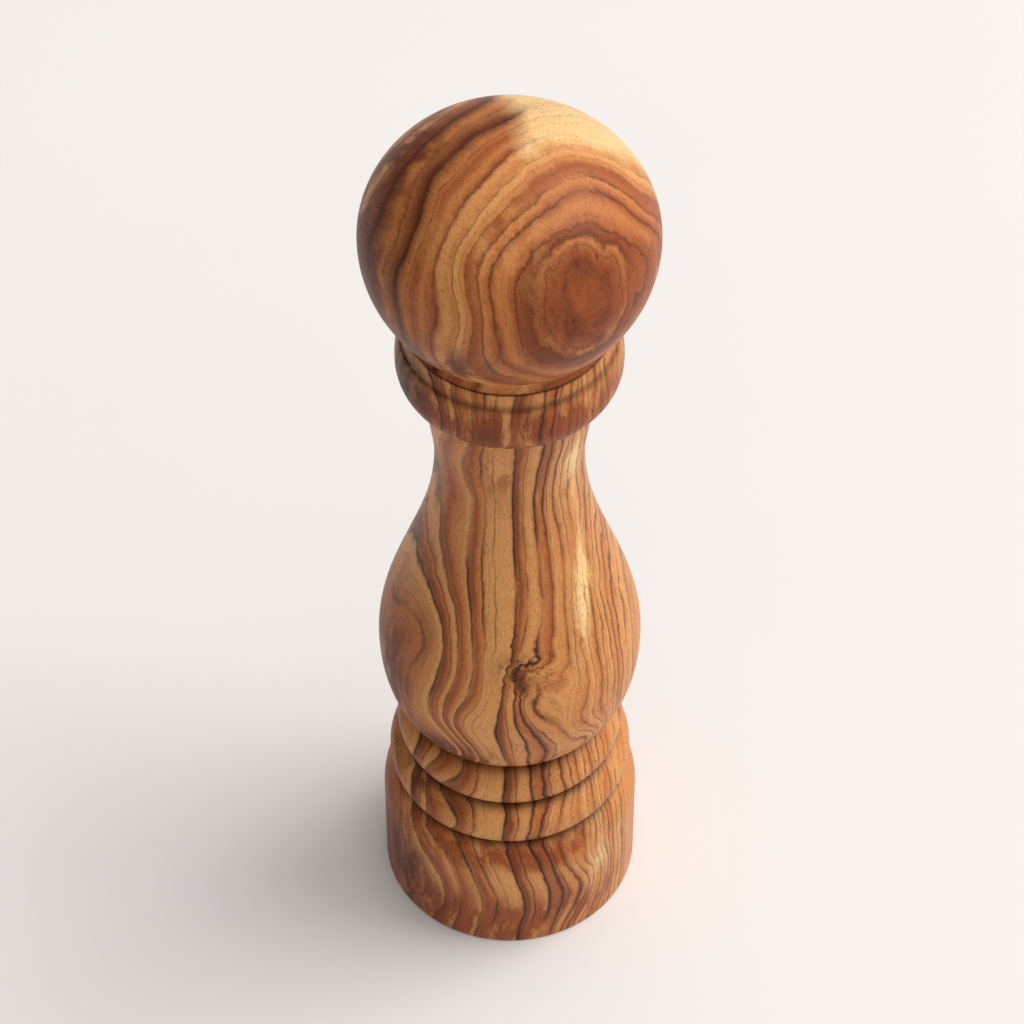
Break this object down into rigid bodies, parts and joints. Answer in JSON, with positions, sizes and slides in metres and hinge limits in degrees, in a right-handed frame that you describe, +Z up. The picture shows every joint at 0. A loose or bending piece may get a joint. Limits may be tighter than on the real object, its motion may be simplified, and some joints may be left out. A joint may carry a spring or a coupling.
{
  "type": "pepper mill",
  "caption": "Turned wooden pepper mill: a ball head turns a shaft through a vase-shaped body with ring beads to a ceramic grinder, set by a dial under the base.",
  "frame": {"origin": "centre of the foot, on the surface that the mill stands on", "axes": "+Z up along the turning axis; +X along the line of the drive plate's screws"},
  "size_m": [0.0604, 0.0604, 0.2256],
  "materials": {
    "body_wood": "satin oiled olive wood",
    "head_wood": "satin oiled olive wood, redder",
    "white_nylon": "plain nylon",
    "black_plastic": "fine moulded texture",
    "ceramic": "fired, unglazed",
    "sheet_steel": "brushed",
    "screw_steel": "bright",
    "shaft_steel": "drawn bar",
    "spring_steel": "drawn wire",
    "brass": "turned"
  },
  "bodies": {
    "body": {"mill_body": "body_wood", "neck_ring": "white_nylon", "mechanism_housing": "black_plastic", "bearing_bridge": "black_plastic", "shaft_bush": "brass", "grinder_ring": "ceramic", "base_ring": "sheet_steel", "base_ring_screws": "screw_steel"},
    "drive": {"drive_shaft": "shaft_steel", "shaft_clip": "spring_steel", "thrust_washer": "sheet_steel", "spring_washer": "sheet_steel", "pressure_spring": "spring_steel"},
    "rotor": {"spring_seat": "sheet_steel", "rotor_hub": "black_plastic", "grinder_cone": "ceramic"},
    "dial": {"adjusting_dial": "black_plastic", "dial_nut": "brass"},
    "head": {"head": "head_wood", "drive_plate": "sheet_steel", "drive_plate_screws": "screw_steel", "grip_sleeve": "white_nylon", "grip_ring": "spring_steel"}
  },
  "joints": [
    {"name": "head_spin", "type": "hinge", "parent": "body", "child": "drive", "pos_m": [0, 0, 0.1], "axis": [0, 0, 1], "continuous": true},
    {"name": "head_lift", "type": "slide", "parent": "drive", "child": "head", "axis": [0, 0, 1], "range_m": [0, 0.036]},
    {"name": "grind_setting", "type": "slide", "parent": "drive", "child": "rotor", "axis": [0, 0, 1], "range_m": [-0.0006, 0.0006], "deforming": ["pressure_spring"]},
    {"name": "dial_turn", "type": "hinge", "parent": "rotor", "child": "dial", "pos_m": [0, 0, 0.0035], "axis": [0, 0, 1], "range_deg": [-270, 270]}
  ],
  "couplings": [
    {"joint": "dial_turn", "follows": "grind_setting", "rad_per_m": 7853.9}
  ]
}
